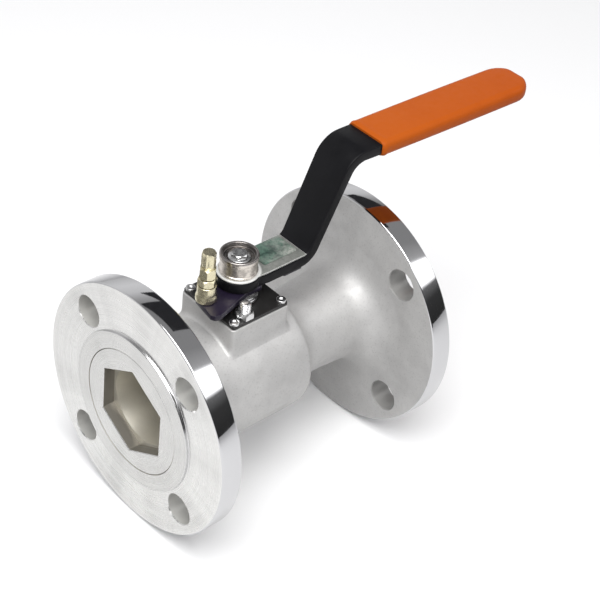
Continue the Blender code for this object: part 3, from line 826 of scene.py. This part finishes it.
def build_gland():
    outline = rounded_box(PAD_X - 0.8, PAD_Y - 0.6, 1.8)
    plate = make("gland_plate_black", prism(outline, PAD_TOP + GAP, PLATE_TOP), [GLAND], HOUSING,
                 ["gland_plate"])
    hole_r, below, above = 10.3, PAD_TOP - 2, PLATE_TOP + 2
    cut(plate, lathe([(below, 0), (below, hole_r), (above, hole_r), (above, 0)], 'Z', 64), STEM_AXIS)
    finish_mesh(plate, STEM_AXIS)
    bevel = plate.modifiers.new("edge", 'BEVEL')
    bevel.width = 0.25 * MM
    bevel.segments = 2
    bevel.limit_method = 'ANGLE'
    head_r, key_r, key_depth = 2.9, 1.5, 0.8
    for node in ("gland_screw_front_right", "gland_screw_front_left", "gland_screw_rear_right",
                 "gland_screw_rear_left"):
        axis = upright_through(node)
        top = span(node, 2)[1]
        foot = PLATE_TOP + 0.05
        shell = rounded_path([(foot, 0, 0), (foot, head_r, 0.1), (top, head_r, 0.5), (top, 0, 0)])
        screw = make(node + "_head", lathe(shell, 'Z', 48), [ZINC], HOUSING, [node], axis)
        cut(screw, prism(arc((0, 0), key_r, 15, 315, 5), top - key_depth, top + 1), axis)
        finish_mesh(screw, axis)


def build_stop_stud():
    axis = upright_through("stop_stud")
    stud = threaded(3.45, 1.1, 48.2, span("stop_stud", 2)[1])
    make("stop_stud_threaded", stud, [ZINC], HOUSING, ["stop_stud"], axis, sharp=60)
    low, high = span("stop_stud_nut", 2)
    make("stop_stud_hex_nut", hex_solid(9.6, low, high, 1.5, 3.3, turn=30), [ZINC], HOUSING,
         ["stop_stud_nut"], axis)


# ---------------------------------------------------------------- pieces that turn with the stem

def build_stop_plate():
    corners = [(-31.2, -14.6, 1.0), (-30.0, -17.0, 1.0), (-26.6, -18.0, 1.5), (-1.0, -10.8, 2.0),
               (9.3, -10.8, 1.5), (12.6, -4.6, 1.2), (25.5, -4.6, 1.2), (27.5, -9.2, 1.2),
               (41.0, -9.2, 1.0), (41.0, 11.4, 1.0), (-3.0, 11.4, 3.0), (-12.0, 8.0, 3.0),
               (-26.6, 3.4, 1.2), (-28.4, 1.6, 1.0)]
    plate = soften(prism(rounded_outline(corners), *STOP_Z), 0.35, 2)
    make("stop_plate_black", plate, [PLATE], LEVER_BODY, ["stop_plate"])


def build_stem_nut():
    low, high = span("stem_nut", 2)
    make("stem_hex_nut", hex_solid(22.0, low, high, 1.0, STEM_R + GAP, both=True, turn=30), [ZINC],
         LEVER_BODY, ["stem_nut"])


def build_lock_bolt():
    axis = upright_through("lock_bolt_spacer")

    def piece(name, bm, node):
        make(name, bm, [YELLOW], LEVER_BODY, [node], axis)

    low, high = span("lock_bolt", 2)
    seat = low + 25.2
    head = hex_solid(7.2, seat + 0.6, high, 1.1, both=True)
    washer = rounded_path([(seat, 0, 0), (seat, 3.8, 0.2), (seat + 0.65, 3.8, 0.2), (seat + 0.65, 0, 0)])
    shank = threaded(2.75, 1.0, STOP_Z[1] + 0.1, seat + 0.2, 0.4, 36)
    piece("lock_bolt_hex", join([head, lathe(washer, 'Z', 48), shank]), "lock_bolt")
    for node, flats, turn in (("lock_nut_upper", 8.6, 15), ("lock_nut_lower", 9.6, 0)):
        low, high = span(node, 2)
        piece(node + "_hex", hex_solid(flats, low, high, 0.9, 2.9, both=True, turn=turn), node)
    low, high = span("lock_bolt_spacer", 2)
    hole_r, foot_r, top_r = 2.9, 6.0, 5.4
    sleeve = rounded_path([
        (low, hole_r, 0.2), (low, foot_r, 0.5), (low + 2.8, foot_r, 0.5), (low + 4.2, top_r, 0.5),
        (high, top_r, 0.5), (high, hole_r, 0.2), (low, hole_r, 0)])
    piece("lock_bolt_sleeve", lathe(sleeve[:-1], 'Z', 64), "lock_bolt_spacer")


def lever_spine():
    """The lever's top line, from the foot to the tip."""
    line = rounded_path(LEVER_BENDS, 12)
    fine = []
    for (u0, z0), (u1, z1) in zip(line, line[1:]):
        pieces = max(1, int(math.hypot(u1 - u0, z1 - z0) / 4))
        for k in range(pieces):
            t = k / pieces
            fine.append((u0 + (u1 - u0) * t, z0 + (z1 - z0) * t))
    fine.append(line[-1])
    return fine


def lever_half_width(u):
    """The bar widens a little up its crank."""
    return 12.0 + 1.3 * max(0.0, min(1.0, (u - 44) / 40))


def lever_height(u):
    """Height of the lever's top at a distance from the stem axis."""
    spine = lever_spine()
    for (u0, z0), (u1, z1) in zip(spine, spine[1:]):
        if u <= u1:
            break
    return z0 + (z1 - z0) * (u - u0) / (u1 - u0)


def build_lever():
    """Bent flat bar whose foot ends in a round head."""
    spine = lever_spine()
    bm = bmesh.new()
    rows = []
    for i, (u, z) in enumerate(spine):
        half_w = lever_half_width(u)
        before, after = spine[max(i - 1, 0)], spine[min(i + 1, len(spine) - 1)]
        along = Vector((after[0] - before[0], 0, after[1] - before[1])).normalized()
        normal = Vector((-along.z, 0, along.x))
        if i == 0:
            normal = Vector((0, 0, 1))
        top = Vector((u, 0, z))
        low = top - normal * LEVER_T
        rows.append([top + Vector((0, half_w, 0)), top - Vector((0, half_w, 0)),
                     low - Vector((0, half_w, 0)), low + Vector((0, half_w, 0))])
    verts = [[bm.verts.new(p) for p in row] for row in rows]
    for low, high in zip(verts, verts[1:]):
        for i in range(4):
            j = (i + 1) % 4
            bm.faces.new((low[i], low[j], high[j], high[i]))
    bm.faces.new(verts[-1])
    head = arc((0, 0), LEVER_HEAD_R, 60, 300, 48)
    z_top, z_low = spine[0][1], spine[0][1] - LEVER_T
    top = [bm.verts.new((p, q, z_top)) for p, q in head]
    low = [bm.verts.new((p, q, z_low)) for p, q in head]
    first = verts[0]
    top_loop = [first[0]] + top + [first[1]]
    low_loop = [first[3]] + low + [first[2]]
    bm.faces.new(top_loop)
    bm.faces.new(low_loop)
    for i in range(len(top_loop) - 1):
        bm.faces.new((top_loop[i], top_loop[i + 1], low_loop[i + 1], low_loop[i]))
    soften(bm, 0.8, 3)
    make("lever_bar", bm, [BLACK], LEVER_BODY, ["lever"])


def build_grip():
    """Dipped vinyl sleeve: soft edges, a slight swell and a round tip."""
    length = GRIP_END - GRIP_START
    rings = []
    stations = [k / 60 for k in range(55)] + [0.905 + 0.095 * math.sin(math.pi / 2 * k / 16)
                                             for k in range(17)]
    for t in stations:
        u = GRIP_START + length * t
        half_w = 14.9 + 0.35 * math.sin(math.pi * min(t, 1.0))
        half_t = 5.1 + 0.5 * t
        from_tip = length * (1 - t)
        if from_tip < GRIP_NOSE:
            half_w *= max(0.02, math.sqrt(1 - (1 - from_tip / GRIP_NOSE) ** 2))
        if from_tip < 5.2:
            half_t *= max(0.05, math.sqrt(1 - (1 - from_tip / 5.2) ** 2))
        lip = 0.35 * math.exp(-((u - GRIP_START - 1.6) / 1.5) ** 2)
        if t == 0:
            half_w -= 0.6
            half_t -= 0.6
        half_w += lip
        half_t += lip
        corner = min(half_t * 0.82, half_w * 0.82)
        mid = lever_height(u) - LEVER_T / 2
        rings.append([Vector((u, p, mid + q)) for p, q in rounded_box(half_w, half_t, corner, 7)])
    make("grip_sleeve_vinyl", skin(rings), [VINYL], LEVER_BODY, ["grip_sleeve"], sharp=70)


def build_trim():
    """Bright plate with a round end on the lever's foot, and the blank label stuck to it."""
    start_x, end_x, half_w = 11.0, 41.0, 11.6
    outline = arc((0, 0), 12.3, 64, 296, 60)
    outline += [(start_x, -half_w), (end_x, -half_w), (end_x, half_w), (start_x, half_w)]
    trim = soften(prism(outline, *TRIM_Z), 0.2, 2)
    make("trim_plate_bright", trim, [TRIM], LEVER_BODY, ["trim_plate"])
    low, high = span("lever_label", 2)
    label = [(p + 26.6, q + 2.6) for p, q in rounded_box(12.2, 8.4, 1.2)]
    sheet = soften(prism(label, low, high), 0.1, 2)
    make("lever_label_blank", sheet, [LABEL], LEVER_BODY, ["lever_label"])


def build_hub():
    """Turned hub with a recess in its top that holds the flanged hexagon screw."""
    low, high = HUB_Z
    top = span("lever_bolt", 2)[1]
    floor = top - HUB_RECESS
    waist = HUB_R - 0.6
    profile = rounded_path([
        (low, 0, 0), (low, HUB_R, 0.5), (low + 1.2, HUB_R, 0.3), (low + 1.6, waist, 0.3),
        (high - 3.6, waist, 0.3), (high - 3.0, HUB_R, 0.4), (high, HUB_R, 1.0), (high, 9.4, 0.6),
        (floor + 0.5, 9.0, 0.4), (floor + 0.5, 7.6, 0.2), (floor, 7.4, 0.2), (floor, 0, 0)], 5)
    make("lever_hub_turned", lathe(profile, 'Z', 120), [HUB], LEVER_BODY, ["lever_hub"])
    flange = rounded_path([(floor + 0.1, 0, 0), (floor + 0.1, 6.5, 0.3), (floor + 0.8, 6.5, 0.4),
                           (floor + 1.3, 4.8, 0.3), (floor + 1.3, 0, 0)])
    make("lever_bolt_hex", hex_solid(8.4, floor + 1.2, top, 0.7, turn=10), [ZINC], LEVER_BODY,
         ["lever_bolt"])
    make("lever_bolt_flange", lathe(flange, 'Z', 72), [ZINC], LEVER_BODY)


def dress_hidden_pieces():
    """CAD pieces inside the valve keep their shape and get their finish."""
    finishes = {
        "thrust_washer": PTFE, "packing_ring_lower": PTFE, "packing_ring_middle": PTFE,
        "packing_ring_upper": PTFE, "body_seal": PTFE, "insert_o_ring": RUBBER,
        "packing_follower": ZINC, "spring_washer": ZINC, "stem": STEM,
    }
    for node, material in finishes.items():
        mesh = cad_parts[node].data
        mesh.materials.clear()
        mesh.materials.append(material)


# ---------------------------------------------------------------- studio

CAMERA_TARGET = PIPE_AXIS + Vector((24.6, -10.1, 33.2)) * MM
CAMERA_DISTANCE = 0.95
CAMERA_HEADING = math.radians(43.45)
CAMERA_DOWN = math.radians(38.15)
CAMERA_ROLL = math.radians(6.905)

# grey levels of the light tent round the pipe axis: 0 is overhead, 90 the near side (-Y)
TENT = [
    (-180, 0.70), (-125, 0.66), (-116, 0.20), (-106, 0.44), (-92, 0.60), (-70, 0.86), (-56, 0.76),
    (-45, 0.46), (-34, 0.27), (-6, 0.31), (16, 0.31), (29, 0.46), (33.5, 0.58), (35, 2.0), (56, 2.0),
    (58.5, 0.20), (70, 0.05), (92, 0.03), (95, 0.6), (106, 0.90), (180, 0.70),
]
# dark flags high over the valve that the rims reflect as a black band: x and y of each
FLAG_HEIGHT = 545
FLAGS = [((138, 366), (-2, 376)), ((366, 640), (90, 650))]


def build_world():
    """Even light for the surfaces, the light tent for reflections, white for the camera."""
    world = bpy.data.worlds.new("light_tent")
    bpy.context.scene.world = world
    world.use_nodes = True
    nodes, links = world.node_tree.nodes, world.node_tree.links
    nodes.clear()
    split = nodes.new("ShaderNodeSeparateXYZ")
    links.new(nodes.new("ShaderNodeTexCoord").outputs["Generated"], split.inputs[0])
    flip = nodes.new("ShaderNodeMath")
    flip.operation = 'MULTIPLY'
    flip.inputs[1].default_value = -1
    links.new(split.outputs["Y"], flip.inputs[0])
    angle = nodes.new("ShaderNodeMath")
    angle.operation = 'ARCTAN2'
    links.new(flip.outputs[0], angle.inputs[0])
    links.new(split.outputs["Z"], angle.inputs[1])
    share = nodes.new("ShaderNodeMapRange")
    share.inputs["From Min"].default_value = -math.pi
    share.inputs["From Max"].default_value = math.pi
    links.new(angle.outputs[0], share.inputs["Value"])
    ramp = nodes.new("ShaderNodeValToRGB")
    stops = ramp.color_ramp.elements
    while len(stops) < len(TENT):
        stops.new(0.5)
    for stop, (degrees, grey) in zip(stops, TENT):
        stop.position = (degrees + 180) / 360
        stop.color = (grey, grey, grey * 1.01, 1)
    links.new(share.outputs[0], ramp.inputs["Fac"])
    path = nodes.new("ShaderNodeLightPath")

    def background(colour):
        node = nodes.new("ShaderNodeBackground")
        node.inputs["Color"].default_value = (*colour, 1)
        return node

    def choose(ray, other, seen):
        mix = nodes.new("ShaderNodeMixShader")
        links.new(path.outputs[ray], mix.inputs["Fac"])
        links.new(other.outputs[0], mix.inputs[1])
        links.new(seen.outputs[0], mix.inputs[2])
        return mix

    tent = background((1, 1, 1))
    links.new(ramp.outputs["Color"], tent.inputs["Color"])
    lit = choose("Is Glossy Ray", background((0.63, 0.63, 0.64)), tent)
    shown = choose("Is Camera Ray", lit, background((1, 1, 1)))
    output = nodes.new("ShaderNodeOutputWorld")
    links.new(shown.outputs[0], output.inputs["Surface"])


def build_floor():
    """White paper that bounces less light than it shows, so that undersides stay darker."""
    bm = bmesh.new()
    bmesh.ops.create_grid(bm, x_segments=8, y_segments=8, size=6.0)
    floor = link("floor", bm)
    floor.location = (0, 0, BODY_LOW.z - 0.5 * MM)
    paper = Shade("floor_paper", (0.94, 0.94, 0.94), 0.0, 0.9)
    paper.shader.inputs["Specular IOR Level"].default_value = 0.1
    paper.colour(paper.noise(900, 3), (0.92, 0.92, 0.92))
    paper.bump(paper.noise(2000, 3), 0.02, 0.2)
    path = paper.nodes.new("ShaderNodeLightPath")
    paper.colour(path.outputs["Is Glossy Ray"], (0.80, 0.80, 0.80))
    paper.colour(path.outputs["Is Diffuse Ray"], (0.50, 0.50, 0.50))
    floor.data.materials.append(paper.mat)


def build_flag():
    bm = bmesh.new()
    for (x0, x1), (y0, y1) in FLAGS:
        corners = ((x0, y0), (x1, y0), (x1, y1), (x0, y1))
        bm.faces.new([bm.verts.new(Vector((x, y, FLAG_HEIGHT)) * MM) for x, y in corners])
    flag = link("flag", bm)
    flag.location = PIPE_AXIS
    flag.visible_camera = flag.visible_diffuse = flag.visible_shadow = False
    cloth = plain_material("flag_cloth", (0.035, 0.035, 0.04), 0.0, (0.9, 1.0), 200)
    flag.data.materials.append(cloth)


def build_key_light():
    """One soft box high over the near flange."""
    data = bpy.data.lights.new("key_softbox", 'AREA')
    data.energy = 16
    data.shape = 'RECTANGLE'
    data.size = data.size_y = 0.9
    data.specular_factor = 0.3
    light = bpy.data.objects.new("key_softbox", data)
    light.location = (-0.45, -0.35, 1.2)
    aim = CAMERA_TARGET - light.location
    light.rotation_mode = 'QUATERNION'
    light.rotation_quaternion = aim.to_track_quat('-Z', 'Y')
    bpy.context.scene.collection.objects.link(light)


def build_camera():
    """Camera that looks along +X and +Y from above the near flange, slightly rolled."""
    forward = Vector((math.cos(CAMERA_DOWN) * math.cos(CAMERA_HEADING),
                      math.cos(CAMERA_DOWN) * math.sin(CAMERA_HEADING), -math.sin(CAMERA_DOWN)))
    level = forward.cross(Vector((0, 0, 1))).normalized()
    upright = level.cross(forward)
    right = level * math.cos(CAMERA_ROLL) + upright * math.sin(CAMERA_ROLL)
    up = upright * math.cos(CAMERA_ROLL) - level * math.sin(CAMERA_ROLL)
    data = bpy.data.cameras.new("camera")
    data.lens = 99
    data.sensor_width = 36
    camera = bpy.data.objects.new("camera", data)
    turn = Matrix((right, up, -forward)).transposed().to_4x4()
    camera.matrix_world = Matrix.Translation(CAMERA_TARGET - forward * CAMERA_DISTANCE) @ turn
    bpy.context.scene.collection.objects.link(camera)
    bpy.context.scene.camera = camera


def build_studio():
    bpy.context.scene.view_settings.view_transform = 'Standard'
    build_world()
    build_floor()
    build_flag()
    build_key_light()


# ---------------------------------------------------------------- build

build_camera()
build_casting()
build_pad()
build_cast_ring()
build_insert()
build_ball_and_seats()
build_gland()
build_stop_stud()
build_stop_plate()
build_stem_nut()
build_lock_bolt()
build_lever()
build_grip()
build_trim()
build_hub()
dress_hidden_pieces()
build_studio()
